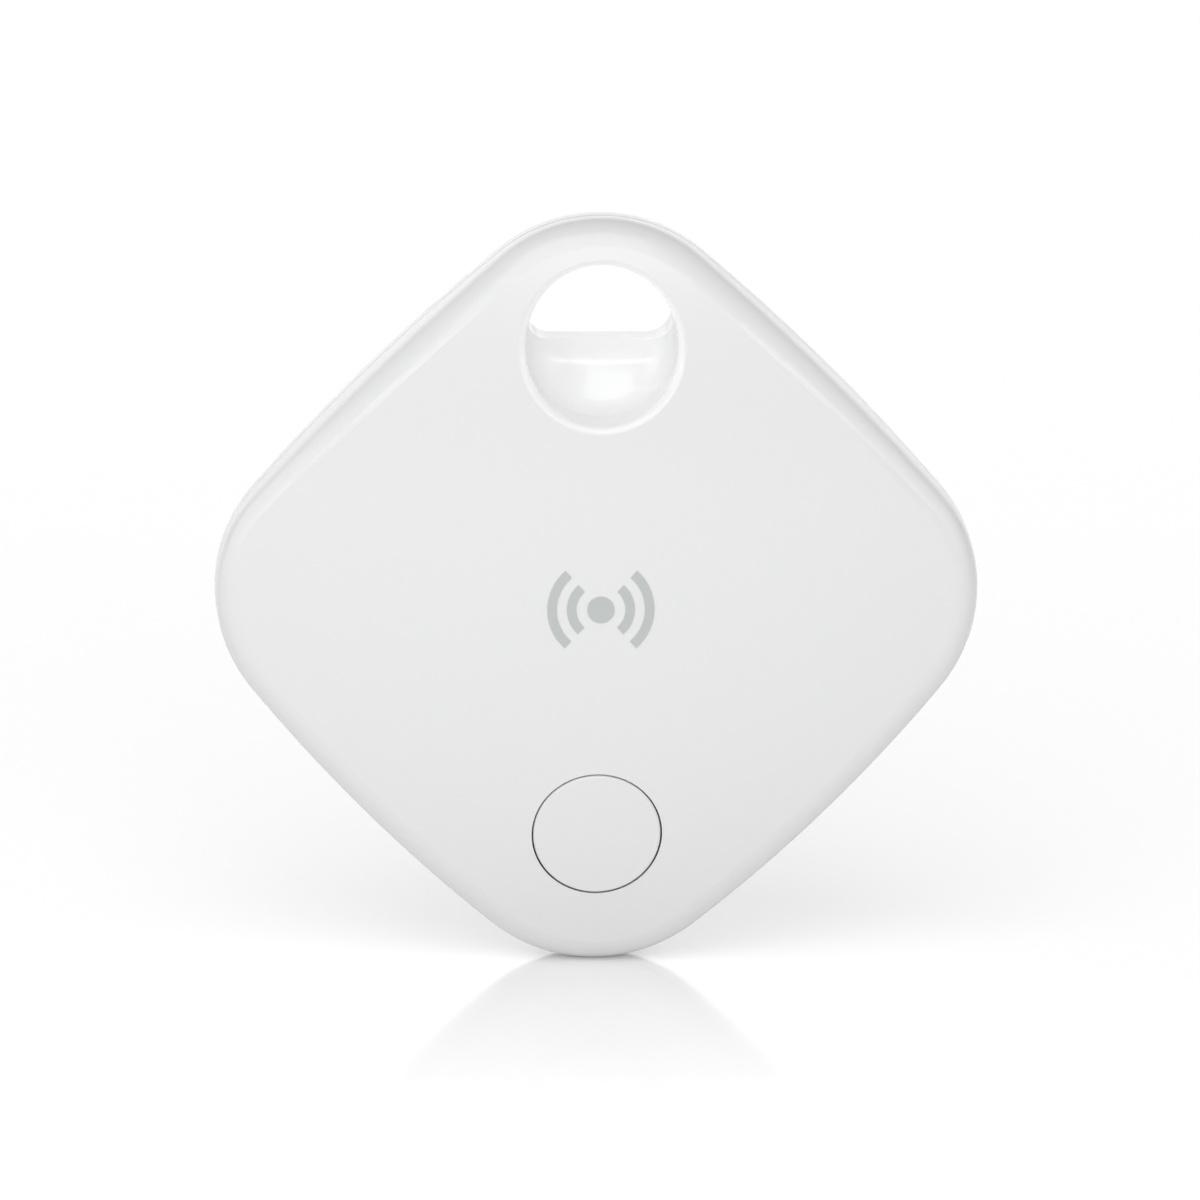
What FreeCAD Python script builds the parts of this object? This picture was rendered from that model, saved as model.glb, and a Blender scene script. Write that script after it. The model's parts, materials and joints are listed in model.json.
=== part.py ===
import FreeCAD, Part
import math
import os
import Sketcher

# Bluetooth tracker tag, millimetres. It hangs by its key ring slot: +Z is up, the domed face looks
# towards -Y. The origin is the axis of the slot's arch, in the seam plane between the two covers.
# Depths called "ahead" are measured from the seam plane towards the face, so y = -ahead.

doc = FreeCAD.newDocument("tracker_tag")
sheet = doc.addObject("Spreadsheet::Sheet", "Sizes")

DIMENSIONS = (
    # the case
    ("across_flats", 38.0, "case width between opposite sides"),
    ("tip_to_tip", 45.0, "case width between opposite corners"),
    ("corner_radius", 9.25, "radius of the four corners"),
    ("centre_drop", 15.68, "slot axis down to the middle of the case"),
    ("face_sphere", 70.0, "radius of the domed face"),
    ("face_ahead", 5.64, "middle of the face"),
    ("back_depth", 1.9, "seam plane back to the flat back face"),
    ("front_round", 1.9, "rounding of the front edge"),
    ("back_round", 1.3, "rounding of the back edge"),
    ("seam_round", 0.12, "rounding of both covers along the seam"),
    ("side_wall", 1.2, "wall round the sides"),
    ("face_wall", 1.1, "wall behind the domed face"),
    ("back_wall", 0.8, "floor of the back cover"),
    # key ring slot and the scooped recess below it
    ("slot_radius", 4.44, "radius of the slot's arch"),
    ("ledge_drop", 0.65, "slot axis down to the flat ledge"),
    ("slot_corner", 1.5, "radius of the slot's lower corners"),
    ("slot_round", 0.25, "rounding of the slot's back edge"),
    ("tunnel_wall", 0.9, "wall of the tunnel round the slot"),
    ("dish_radius", 4.5, "radius of the scooped recess"),
    ("dish_drop", 0.36, "slot axis down to the scoop's axis"),
    ("dish_sphere", 6.0, "radius of the scoop's hollow end"),
    ("dish_behind", 0.71, "how far the scoop reaches behind the seam plane"),
    ("dish_corner", 1.8, "rounding between the scoop's wall and its end"),
    ("dish_round", 0.45, "rounding of the scoop's rim"),
    ("dish_wall", 0.6, "wall behind the scoop"),
    # button
    ("button_drop", 14.07, "middle of the case down to the button"),
    ("button_radius", 3.765, "radius of the button cap"),
    ("button_gap", 0.09, "gap round the button cap"),
    ("button_wall", 0.9, "thickness of the button cap"),
    ("leg_ahead", 2.35, "back end of the button's two legs"),
    ("button_round", 0.14, "rounding of the cap's rim"),
    ("button_travel", 0.2, "stroke of the button"),
    ("switch_width", 3.6, "tactile switch, across"),
    ("switch_height", 3.0, "tactile switch, up"),
    ("switch_thick", 0.6, "tactile switch, without its frame"),
    ("switch_well", 0.2, "floor of the switch's well above the board"),
    # back cover's tongue
    ("fit_gap", 0.1, "play between the covers"),
    ("tongue_wall", 0.7, "thickness of the tongue inside the front cover"),
    ("tongue_ahead", 0.9, "how far the tongue reaches past the seam"),
    ("rib_proud", 0.3, "height of the locating ribs on the tongue"),
    # circuit board
    ("board_ahead", 1.2, "back side of the circuit board"),
    ("board_thick", 0.8, "thickness of the circuit board"),
    ("board_inset", 1.45, "case outline in to the board's edge"),
    ("board_radius", 18.3, "the board's corners, cut round to clear the dome"),
    ("screw_offset", 10.1, "screws from the middle of the case, across and up"),
    ("screw_radius", 0.6, "screw thread"),
    ("screw_head", 1.25, "radius of a screw head"),
    ("screw_depth", 2.6, "length of a screw under its head"),
    ("head_thick", 0.6, "thickness of a screw head"),
    ("boss_radius", 1.5, "bosses that take the screws"),
    ("hole_play", 0.15, "play round a screw"),
    ("ear_thick", 0.5, "thickness of the tray's ears, under the screw heads"),
    # coin cell
    ("cell_radius", 10.0, "standard 20 mm cell"),
    ("cell_thick", 3.2, "standard 3.2 mm cell"),
    ("cell_drop", 0.7, "middle of the case down to the middle of the cell"),
    ("cell_back", 1.06, "seam plane back to the cell's flat side"),
    ("can_sheet", 0.25, "steel of the cell's can"),
    ("can_round", 0.2, "rounding of the cell's rim"),
    ("tray_play", 0.3, "room round the cell in its tray"),
    ("tray_wall", 0.7, "wall of the battery tray"),
    ("tray_ahead", 2.35, "inside of the tray's floor"),
    ("tray_floor", 0.55, "thickness of the tray's floor"),
    # sounder
    ("piezo_radius", 7.5, "brass disc of the sounder"),
    ("piezo_ahead", 3.72, "back side of the brass disc"),
    ("piezo_sheet", 0.2, "thickness of each piezo layer"),
    # printed mark
    ("mark_radius", 3.15, "outside of the mark's outer arcs"),
    ("mark_step", 1.15, "from the outer to the inner arcs"),
    ("mark_stroke", 0.55, "width of the arcs"),
    ("mark_spread", 96, "angle of each arc in degrees"),
    ("mark_dot", 0.8, "radius of the mark's dot"),
    ("ink", 0.03, "thickness of the print"),
    ("glue", 0.06, "thickness of the sounder's adhesive"),
    ("glue_width", 1.2, "width of the sounder's adhesive ring and of the rib under it"),
    ("contact_sheet", 0.15, "sheet of the battery contacts"),
)

for row, (alias, value, note) in enumerate(DIMENSIONS, start=1):
    sheet.set(f"A{row}", alias)
    sheet.set(f"B{row}", str(value))
    sheet.set(f"C{row}", note)
    sheet.setAlias(f"B{row}", alias)
doc.recompute()

FAR = 12.0          # reach of tool solids that cut right through
CLOSE = 1e-4        # lengths that differ by less are the same
WIDE = "60"         # tool solids this wide reach past the whole case
TURN = 45           # the case outline is a rounded square standing on a corner
UP = FreeCAD.Vector(0, 0, 1)
nodes = []          # the sub-parts, in the order in which they are made


def number(expression):
    """Value of an expression over the sheet's cells."""
    return float(sheet.evalExpression(expression))


def size(alias):
    return number(f"Sizes.{alias}")


def bind(item, **expressions):
    for name, expression in expressions.items():
        item.setExpression(name.replace("__", "."), expression)
    return item


def as_node(item, label):
    """Names a finished sub-part."""
    item.Label = label
    nodes.append(item)
    return item


# ---- sketches ----------------------------------------------------------------------------------


def origin_plane(body, role):
    for feature in body.Origin.OriginFeatures:
        if feature.Role == role:
            return feature
    raise ValueError(role)


def new_body(name):
    return doc.addObject("PartDesign::Body", name)


def add_sketch(body, name, ahead="0", across="0", up="0", turn=0.0, role="XZ_Plane"):
    """A sketch seen from the face: its x is X, its y is Z, and its normal is -Y, which is ahead."""
    item = body.newObject("Sketcher::SketchObject", name)
    item.AttachmentSupport = [(origin_plane(body, role), "")]
    item.MapMode = "FlatFace"
    item.AttachmentOffset = FreeCAD.Placement(FreeCAD.Vector(), FreeCAD.Rotation(UP, turn))
    bind(item, AttachmentOffset__Base__x=across, AttachmentOffset__Base__y=up,
         AttachmentOffset__Base__z=ahead)
    return item


def limit(item, kind, *where, to):
    """Adds a dimension whose value is an expression."""
    index = item.addConstraint(Sketcher.Constraint(kind, *where, number(to)))
    item.setExpression(f"Constraints[{index}]", to)


def tie(item, kind, *where):
    item.addConstraint(Sketcher.Constraint(kind, *where))


def arc(x, y, radius, start, end):
    circle = Part.Circle(FreeCAD.Vector(x, y, 0), UP, radius)
    return Part.ArcOfCircle(circle, start, end)


def line(x_from, y_from, x_to, y_to):
    return Part.LineSegment(FreeCAD.Vector(x_from, y_from, 0), FreeCAD.Vector(x_to, y_to, 0))


def draw_circle(item, radius):
    """A circle about the sketch's origin."""
    index = item.addGeometry(Part.Circle(FreeCAD.Vector(), UP, number(radius)), False)
    tie(item, "Coincident", index, 3, -1, 1)
    limit(item, "Radius", index, to=radius)


def draw_rectangle(item, width, height):
    """A rectangle centred on the sketch's origin."""
    x, y = number(width) / 2, number(height) / 2
    corners = [(-x, -y), (x, -y), (x, y), (-x, y)]
    first = item.GeometryCount
    for start, end in zip(corners, corners[1:] + corners[:1]):
        item.addGeometry(line(*start, *end), False)
    for side in range(4):
        tie(item, "Coincident", first + side, 2, first + (side + 1) % 4, 1)
        tie(item, "Horizontal" if side % 2 == 0 else "Vertical", first + side)
    tie(item, "Symmetric", first, 1, first + 1, 2, -1, 1)
    limit(item, "DistanceX", first, 1, first, 2, to=width)
    limit(item, "DistanceY", first + 1, 1, first + 1, 2, to=height)


CORNER_AT = "((Sizes.tip_to_tip / 2 - Sizes.corner_radius) / sqrt(2))"
CORNER_SHORT = f"({CORNER_AT} - Sizes.across_flats / 2)"
SIDE_RADIUS = (f"((Sizes.corner_radius ^ 2 - {CORNER_SHORT} ^ 2 - {CORNER_AT} ^ 2)"
               f" / (2 * ({CORNER_SHORT} + Sizes.corner_radius)))")


def draw_outline(item, inset="0"):
    """The case outline, moved in by inset: four slightly bulging sides and four round corners."""
    corner_at = number(CORNER_AT)
    corner_radius = number(f"Sizes.corner_radius - {inset}")
    side_radius = number(f"{SIDE_RADIUS} - {inset}")
    side_back = number(f"{SIDE_RADIUS} - Sizes.across_flats / 2")
    lean = math.atan2(corner_at, corner_at + side_back)
    for quarter in range(4):
        turn = quarter * math.pi / 2
        middle = FreeCAD.Rotation(UP, 90 * quarter).multVec(FreeCAD.Vector(-side_back, 0, 0))
        corner = FreeCAD.Rotation(UP, 90 * quarter).multVec(FreeCAD.Vector(corner_at, corner_at, 0))
        item.addGeometry(arc(middle.x, middle.y, side_radius, turn - lean, turn + lean), False)
        item.addGeometry(arc(corner.x, corner.y, corner_radius, turn + lean, turn + math.pi / 2 - lean),
                         False)
    for piece in range(8):
        tie(item, "Tangent", piece, 2, (piece + 1) % 8, 1)
    for piece in (3, 5, 7):
        tie(item, "Equal", 1, piece)
    for piece in (2, 4, 6):
        tie(item, "Equal", 0, piece)
    tie(item, "Symmetric", 1, 3, 3, 3, -2)
    tie(item, "Symmetric", 1, 3, 5, 3, -1, 1)
    tie(item, "Symmetric", 1, 3, 7, 3, -1)
    limit(item, "DistanceX", -1, 1, 1, 3, to=CORNER_AT)
    limit(item, "DistanceY", -1, 1, 1, 3, to=CORNER_AT)
    limit(item, "Radius", 1, to=f"Sizes.corner_radius - {inset}")
    limit(item, "Radius", 0, to=f"{SIDE_RADIUS} - {inset}")


def draw_slot(item, grow="0"):
    """The key ring slot, moved out by grow: an arch over a flat ledge with rounded corners."""
    radius = number(f"Sizes.slot_radius + {grow}")
    corner = number(f"Sizes.slot_corner + {grow}")
    ledge = number(f"Sizes.ledge_drop + {grow}")
    corner_up = corner - ledge
    corner_out = math.sqrt((radius - corner) ** 2 - corner_up ** 2)
    lean = math.atan2(corner_up, corner_out)
    item.addGeometry(arc(0, 0, radius, lean, math.pi - lean), False)
    item.addGeometry(arc(-corner_out, corner_up, corner, math.pi - lean, 1.5 * math.pi), False)
    item.addGeometry(line(-corner_out, -ledge, corner_out, -ledge), False)
    item.addGeometry(arc(corner_out, corner_up, corner, -0.5 * math.pi, lean), False)
    tie(item, "Coincident", 0, 3, -1, 1)
    for piece in range(4):
        tie(item, "Tangent", piece, 2, (piece + 1) % 4, 1)
    tie(item, "Horizontal", 2)
    tie(item, "Equal", 1, 3)
    limit(item, "Radius", 0, to=f"Sizes.slot_radius + {grow}")
    limit(item, "Radius", 1, to=f"Sizes.slot_corner + {grow}")
    limit(item, "DistanceY", 2, 1, -1, 1, to=f"Sizes.ledge_drop + {grow}")


# ---- features ----------------------------------------------------------------------------------


def pad(body, profile, length, back=False):
    item = body.newObject("PartDesign::Pad", profile.Name + "_pad")
    item.Profile = profile
    item.Reversed = back
    bind(item, Length=length)
    return item


def trim_to_dome(body, name, ahead, radius):
    """Turns away all that stands in front of a sphere whose top is that far ahead."""
    reach = number("Sizes.tip_to_tip / 2 + 4")
    top, sphere = number(ahead), number(radius)
    rim_x = -top + sphere - math.sqrt(sphere ** 2 - reach ** 2)
    item = add_sketch(body, name, role="YZ_Plane", up="-Sizes.centre_drop")
    start = math.atan2(reach, rim_x - (sphere - top))
    item.addGeometry(arc(sphere - top, 0, sphere, start, math.pi), False)
    item.addGeometry(line(-top, 0, -FAR, 0), False)
    item.addGeometry(line(-FAR, 0, -FAR, reach), False)
    item.addGeometry(line(-FAR, reach, rim_x, reach), False)
    for piece in range(4):
        tie(item, "Coincident", piece, 2, (piece + 1) % 4, 1)
    tie(item, "PointOnObject", 0, 3, -1)
    tie(item, "PointOnObject", 0, 2, -1)
    tie(item, "Horizontal", 1)
    tie(item, "Vertical", 2)
    tie(item, "Horizontal", 3)
    limit(item, "Radius", 0, to=radius)
    limit(item, "DistanceX", 0, 2, -1, 1, to=ahead)
    limit(item, "DistanceX", 1, 2, -1, 1, to=f"{FAR}")
    limit(item, "DistanceY", 2, 1, 2, 2, to="Sizes.tip_to_tip / 2 + 4")
    groove = body.newObject("PartDesign::Groove", name + "_groove")
    groove.Profile = item
    groove.ReferenceAxis = (item, ["H_Axis"])
    groove.Angle = 360
    return groove


def prism(name, draw, ahead, length, across="0", up="0", turn=0.0):
    """A body padded ahead from a sketch that draw fills in."""
    body = new_body(name)
    profile = add_sketch(body, name + "_profile", ahead=ahead, across=across, up=up, turn=turn)
    draw(profile)
    pad(body, profile, length)
    return body


def disc(name, radius, ahead, length, across="0", up="0", bore=None):
    def draw(item):
        draw_circle(item, radius)
        if bore:
            draw_circle(item, bore)
    return prism(name, draw, ahead, length, across, up)


def block(name, width, height, ahead, length, across="0", up="0", turn=0.0):
    return prism(name, lambda item: draw_rectangle(item, width, height), ahead, length, across, up, turn)


def ball(name, radius, ahead, up):
    item = doc.addObject("Part::Sphere", name)
    bind(item, Radius=radius, Placement__Base__y=f"-({ahead})", Placement__Base__z=up)
    return item


def boolean(kind, name, *shapes):
    """kind is Cut or Common of two shapes, or MultiFuse of any number."""
    item = doc.addObject(f"Part::{kind}", name)
    if kind == "MultiFuse":
        item.Shapes = list(shapes)
    else:
        item.Base, item.Tool = shapes
    return item


def scoop(name, grow="0"):
    """The scooped recess below the slot, moved out by grow: a round hole with a hollow end."""
    end = ball(f"{name}_end", f"Sizes.dish_sphere + {grow}", "Sizes.dish_sphere - Sizes.dish_behind",
               "-Sizes.dish_drop")
    hole = disc(f"{name}_hole", f"Sizes.dish_radius + {grow}", "-Sizes.back_depth",
                "Sizes.back_depth + Sizes.face_ahead + 1", up="-Sizes.dish_drop")
    return boolean("Common", name, end, hole)


def group(name, shapes):
    """Separate solids that share one node."""
    item = doc.addObject("Part::Compound", name)
    item.Links = list(shapes)
    return item


def round_edges(name, base, radius, wanted):
    """Rounds the edges of base that wanted(edge) picks."""
    doc.recompute()
    item = doc.addObject("Part::Fillet", name)
    item.Base = base
    picked = [index for index, edge in enumerate(base.Shape.Edges, start=1) if wanted(edge)]
    if not picked:
        raise ValueError(f"{name} found no edge")
    item.Edges = [(index, size(radius), size(radius)) for index in picked]
    return item


def around(up):
    """Places a height measured from the middle of the case."""
    return f"({up} - Sizes.centre_drop)"


BUTTON_UP = around("-Sizes.button_drop")
CELL_UP = around("-Sizes.cell_drop")
BOARD_FACE = "(Sizes.board_ahead + Sizes.board_thick)"
BOARD_BACK = "Sizes.board_ahead"


# ---- case --------------------------------------------------------------------------------------


def middle_of(edge):
    return edge.valueAt((edge.FirstParameter + edge.LastParameter) / 2)


def flat_at(edge, back):
    """Whether an edge lies in the plane that far behind the seam."""
    return abs(edge.CenterOfMass.y - back) < CLOSE and edge.BoundBox.YLength < CLOSE


def distance_from_middle(point):
    return math.hypot(point.x, point.z + size("centre_drop"))


def make_envelope():
    """The whole outside of the case, both covers together."""
    body = new_body("case_envelope")
    profile = add_sketch(body, "case_outline", ahead="-Sizes.back_depth", up="-Sizes.centre_drop",
                         turn=TURN)
    draw_outline(profile)
    pad(body, profile, "Sizes.back_depth + Sizes.face_ahead + 1")
    trim_to_dome(body, "case_dome", "Sizes.face_ahead", "Sizes.face_sphere")
    doc.recompute()

    def front_rim(edge):
        middle = middle_of(edge)
        runs_round = edge.BoundBox.YLength < -middle.y
        return runs_round and distance_from_middle(middle) > size("across_flats") / 2 - size("seam_round")

    def back_rim(edge):
        return flat_at(edge, size("back_depth"))

    roundings = (("front_edge", "front_round", front_rim), ("back_edge", "back_round", back_rim))
    for name, radius, wanted in roundings:
        doc.recompute()
        tip = body.Tip
        names = [f"Edge{index}" for index, edge in enumerate(tip.Shape.Edges, start=1) if wanted(edge)]
        item = body.newObject("PartDesign::Fillet", name)
        item.Base = (tip, names)
        bind(item, Radius=f"Sizes.{radius}")
    return body


def radius_of(edge):
    """Radius of a circular edge, or zero."""
    if edge.Degenerated:
        return 0.0
    return getattr(edge.Curve, "Radius", 0.0)


def seam_rim(edge):
    """The outer edges of a cover at the seam."""
    outer = (size("corner_radius"), number(SIDE_RADIUS))
    return flat_at(edge, 0) and min(abs(radius_of(edge) - radius) for radius in outer) < 10 * CLOSE


SCREWS = [(across, up) for up in (1, -1) for across in (-1, 1)]


def screw_place(across, up):
    return {"across": f"{across} * Sizes.screw_offset", "up": around(f"{up} * Sizes.screw_offset")}


def screw_passages(name):
    """Tools for the four holes that the screws pass through with play."""
    return [disc(f"{name}_hole_{index}", "Sizes.screw_radius + Sizes.hole_play", "0", "5",
                 **screw_place(*place)) for index, place in enumerate(SCREWS)]


def make_rib(name, grow, quarter, ahead, length):
    """One of the ribs in the middle of each side that locate the back cover in the front cover."""
    angle = math.radians(TURN + 90 * quarter)
    out = f"(Sizes.across_flats / 2 - Sizes.side_wall - {grow[1]})"
    return block(name, f"Sizes.rib_proud + {grow[0]}", f"3 + {grow[0]}", ahead, length,
                 across=f"{math.cos(angle):.6f} * {out}", up=around(f"{math.sin(angle):.6f} * {out}"),
                 turn=TURN + 90 * quarter)


def make_front_cover(envelope):
    front_space = block("front_space", WIDE, WIDE, "0", str(FAR), up="-Sizes.centre_drop")
    half = boolean("Common", "front_half", envelope, front_space)
    cavity = prism("front_cavity", lambda item: draw_outline(item, "Sizes.side_wall"), "-1",
                   "Sizes.face_ahead + 3", up="-Sizes.centre_drop", turn=TURN)
    trim_to_dome(cavity, "cavity_dome", "Sizes.face_ahead - Sizes.face_wall",
                 "Sizes.face_sphere - Sizes.face_wall")
    shell = boolean("Cut", "front_shell", half, cavity)

    tunnel = prism("slot_tunnel", lambda item: draw_slot(item, "Sizes.tunnel_wall"), "-Sizes.back_depth",
                   "Sizes.back_depth + Sizes.face_ahead")
    bump = scoop("dish_bump", "Sizes.dish_wall")
    sounder_rib = disc("sounder_rib", "Sizes.piezo_radius",
                       "Sizes.piezo_ahead + Sizes.piezo_sheet + Sizes.glue", "Sizes.face_wall + 0.1",
                       up="-Sizes.centre_drop", bore="Sizes.piezo_radius - Sizes.glue_width")
    bosses = [disc(f"screw_boss_{index}", "Sizes.boss_radius", BOARD_FACE, "2",
                   **screw_place(*place)) for index, place in enumerate(SCREWS)]
    added = boolean("MultiFuse", "front_added", tunnel, bump, sounder_rib, *bosses)
    inside = boolean("Common", "front_inside", added, envelope)
    solid = boolean("MultiFuse", "front_solid", shell, inside)

    def round_the_dish(edge):
        middle = middle_of(edge)
        out = math.hypot(middle.x, middle.z + size("dish_drop"))
        return abs(out - size("dish_radius")) < 10 * CLOSE and edge.BoundBox.XLength > CLOSE

    def dish_end(edge):
        return round_the_dish(edge) and edge.BoundBox.YMin > -size("face_ahead") / 2

    def dish_rim(edge):
        return round_the_dish(edge) and edge.BoundBox.YMax < -size("face_ahead") / 2

    dish = round_edges("dish", scoop("dish_blank"), "dish_corner", dish_end)
    dished = boolean("Cut", "front_dished", solid, dish)
    rounded = round_edges("front_dish_rim", dished, "dish_round", dish_rim)

    slot = prism("slot", draw_slot, "-Sizes.back_depth - 1", "Sizes.back_depth + Sizes.face_ahead + 2")
    hole = disc("button_hole", "Sizes.button_radius + Sizes.button_gap", "0", str(FAR),
                up=around("-Sizes.button_drop"))
    screw_holes = [disc(f"screw_hole_{index}", "Sizes.screw_radius + 0.02", "0", "Sizes.screw_depth + 0.8",
                        **screw_place(*place)) for index, place in enumerate(SCREWS)]
    grooves = [make_rib(f"rib_groove_{quarter}", ("0.2", "0"), quarter, "-1", "2.1") for quarter in range(4)]
    openings = boolean("MultiFuse", "front_openings", slot, hole, *screw_holes, *grooves)
    cut = boolean("Cut", "front_cut", rounded, openings)
    seamed = round_edges("front_seamed", cut, "seam_round", seam_rim)

    def slot_rim(edge):
        box = edge.BoundBox
        reach = max(-box.XMin, box.XMax, -box.ZMin, box.ZMax)
        return flat_at(edge, size("back_depth")) and reach < size("slot_radius") + CLOSE

    return as_node(round_edges("front_cover", seamed, "slot_round", slot_rim), "front_cover")


def make_back_cover(envelope):
    back_space = block("back_space", WIDE, WIDE, f"-{FAR}", str(FAR), up="-Sizes.centre_drop")
    half = boolean("Common", "back_half", envelope, back_space)
    floor_ahead = "(Sizes.back_wall - Sizes.back_depth)"
    cavity = prism("back_cavity", lambda item: draw_outline(item, "Sizes.side_wall"), floor_ahead, "5",
                   up="-Sizes.centre_drop", turn=TURN)
    tray = boolean("Cut", "back_tray", half, cavity)

    def draw_tongue(item):
        draw_outline(item, "(Sizes.side_wall + Sizes.fit_gap)")

    def draw_tongue_inside(item):
        draw_outline(item, "(Sizes.side_wall + Sizes.fit_gap + Sizes.tongue_wall)")

    tongue_length = f"Sizes.tongue_ahead - {floor_ahead} + 0.1"
    outer = prism("tongue_outer", draw_tongue, f"{floor_ahead} - 0.1", tongue_length,
                  up="-Sizes.centre_drop", turn=TURN)
    inner = prism("tongue_inner", draw_tongue_inside, f"{floor_ahead} - 1", f"{tongue_length} + 2",
                  up="-Sizes.centre_drop", turn=TURN)
    ring = boolean("Cut", "tongue_ring", outer, inner)
    ribs = [make_rib(f"rib_{quarter}", ("0", "Sizes.fit_gap"), quarter, floor_ahead,
                     f"Sizes.tongue_ahead - {floor_ahead}") for quarter in range(4)]
    keyed = boolean("MultiFuse", "tongue_keyed", ring, *ribs)
    gap = block("tongue_gap", "15", "16", f"{floor_ahead}", "4", up="3")
    tongue = boolean("Cut", "tongue", keyed, gap)
    solid = boolean("MultiFuse", "back_solid", tray, tongue)

    window = prism("slot_window", lambda item: draw_slot(item, "(Sizes.tunnel_wall + Sizes.fit_gap)"),
                   "-Sizes.back_depth - 1", "Sizes.back_depth + 4")
    relief = scoop("dish_relief", "(Sizes.dish_wall + Sizes.fit_gap)")
    notch = block("pry_notch", "7", "1.4", "-1.0", "1.5", up=around("-Sizes.tip_to_tip / 2"))
    openings = boolean("MultiFuse", "back_openings", window, relief, notch)
    cut = boolean("Cut", "back_cut", solid, openings)
    return as_node(round_edges("back_cover", cut, "seam_round", seam_rim), "back_cover")


# ---- button and its switch ---------------------------------------------------------------------

def dome_ball(name, inset):
    """The sphere of the domed face, made smaller by inset."""
    return ball(name, f"Sizes.face_sphere - {inset}", "Sizes.face_ahead - Sizes.face_sphere",
                "-Sizes.centre_drop")


def make_button_cap():
    """A disc that follows the face, with a post onto the switch and two hooked legs that hold it in."""
    plug = disc("cap_plug", "Sizes.button_radius", "Sizes.leg_ahead", "4", up=BUTTON_UP)
    face = boolean("Common", "cap_face", plug, dome_ball("cap_outside", "0"))
    top = boolean("Cut", "cap_top", face, dome_ball("cap_inside", "Sizes.button_wall"))
    post = disc("cap_post", "0.75", f"{BOARD_FACE} + 0.88", "1", up=BUTTON_UP)
    blocks = [block(f"cap_leg_block_{index}", "1.6", "1.8", "Sizes.leg_ahead", "4", up=BUTTON_UP,
                    across=f"{side} * (Sizes.button_radius + 0.05)") for index, side in enumerate((-1, 1))]
    both = boolean("MultiFuse", "cap_leg_blocks", *blocks)
    legs = boolean("Common", "cap_legs", both, face)
    hooks = boolean("Common", "cap_hooks", both, dome_ball("hook_outside", "(Sizes.face_wall + 0.06)"))
    solid = boolean("MultiFuse", "cap_solid", top, post, legs, hooks)

    def face_rim(edge):
        return edge.BoundBox.YMin < -3 and abs(edge.BoundBox.XMax - size("button_radius")) < 1e-3 \
            and edge.CenterOfMass.y < -3.9

    return as_node(round_edges("button_cap", solid, "button_round", face_rim), "button_cap")


def make_switch():
    """A flat tactile switch: base, four terminals, snap dome, plunger and a steel frame."""
    floor = f"{BOARD_FACE} + Sizes.switch_well"
    base = block("switch_block", "Sizes.switch_width", "Sizes.switch_height", BOARD_FACE,
                 "Sizes.switch_thick", up=BUTTON_UP)
    well = disc("switch_well", "1.25", floor, "1", up=BUTTON_UP)
    as_node(boolean("Cut", "switch_base", base, well), "switch_base")

    legs = [block(f"switch_leg_{index}", "0.6", "0.5", BOARD_FACE, "0.12", across=f"{across} * 2.1",
                  up=around(f"({up} * 0.95 - Sizes.button_drop)"))
            for index, (across, up) in enumerate(SCREWS)]
    as_node(group("switch_terminals", legs), "switch_terminals")

    dome_radius, sheet_steel, rise = 3.4, 0.06, 0.2
    cap = disc("dome_blank", "1.2", floor, "1", up=BUTTON_UP)
    top_ahead = f"{floor} + 0.02 + {rise}"
    outside = ball("dome_outside", f"{dome_radius}", f"{top_ahead} - {dome_radius}", BUTTON_UP)
    inside = ball("dome_inside", f"{dome_radius - sheet_steel}", f"{top_ahead} - {dome_radius}", BUTTON_UP)
    dome = boolean("Common", "dome_cap", cap, outside)
    as_node(boolean("Cut", "switch_dome", dome, inside), "switch_dome")

    flange = disc("plunger_flange", "1.1", f"{BOARD_FACE} + 0.44", "0.14", up=BUTTON_UP)
    stem = disc("plunger_stem", "0.8", f"{BOARD_FACE} + 0.44", "0.42", up=BUTTON_UP)
    as_node(boolean("MultiFuse", "switch_plunger", flange, stem), "switch_plunger")

    plate = block("frame_plate", "Sizes.switch_width + 0.2", "Sizes.switch_height + 0.2",
                  f"{BOARD_FACE} + Sizes.switch_thick", "0.1", up=BUTTON_UP)
    sides = [block(f"frame_side_{index}", "0.1", "1.6", f"{BOARD_FACE} + 0.14", "0.46",
                   across=f"{across} * 1.85", up=BUTTON_UP) for index, across in enumerate((-1, 1))]
    hole = disc("frame_hole", "0.9", BOARD_FACE, "1", up=BUTTON_UP)
    as_node(boolean("Cut", "switch_frame", boolean("MultiFuse", "frame_sheet", plate, *sides), hole),
            "switch_frame")


# ---- circuit board -----------------------------------------------------------------------------

def make_board():
    """A horseshoe round the coin cell, open at the top for the key ring slot."""
    square = prism("board_square", lambda item: draw_outline(item, "Sizes.board_inset"), BOARD_BACK,
                   "Sizes.board_thick", up="-Sizes.centre_drop", turn=TURN)
    round_blank = disc("board_round", "Sizes.board_radius", "0", "5", up="-Sizes.centre_drop")
    blank = boolean("Common", "board_blank", square, round_blank)
    cell_hole = disc("board_cell_hole", "Sizes.cell_radius + Sizes.tray_play + Sizes.tray_wall + 0.15", "0",
                     "5", up=CELL_UP)
    slot_hole = disc("board_slot_hole", "Sizes.dish_radius + Sizes.dish_wall + 1.1", "0", "5",
                     up="-Sizes.dish_drop")
    slot_way = block("board_slot_way", "13.2", "12", "0", "5", up="-Sizes.dish_drop + 6")
    neck = block("board_neck", "9", "6", "0", "5", up="-Sizes.dish_drop - 6")
    holes = screw_passages("board")
    openings = boolean("MultiFuse", "board_openings", cell_hole, slot_hole, slot_way, neck, *holes)
    as_node(boolean("Cut", "circuit_board", blank, openings), "circuit_board")


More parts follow.
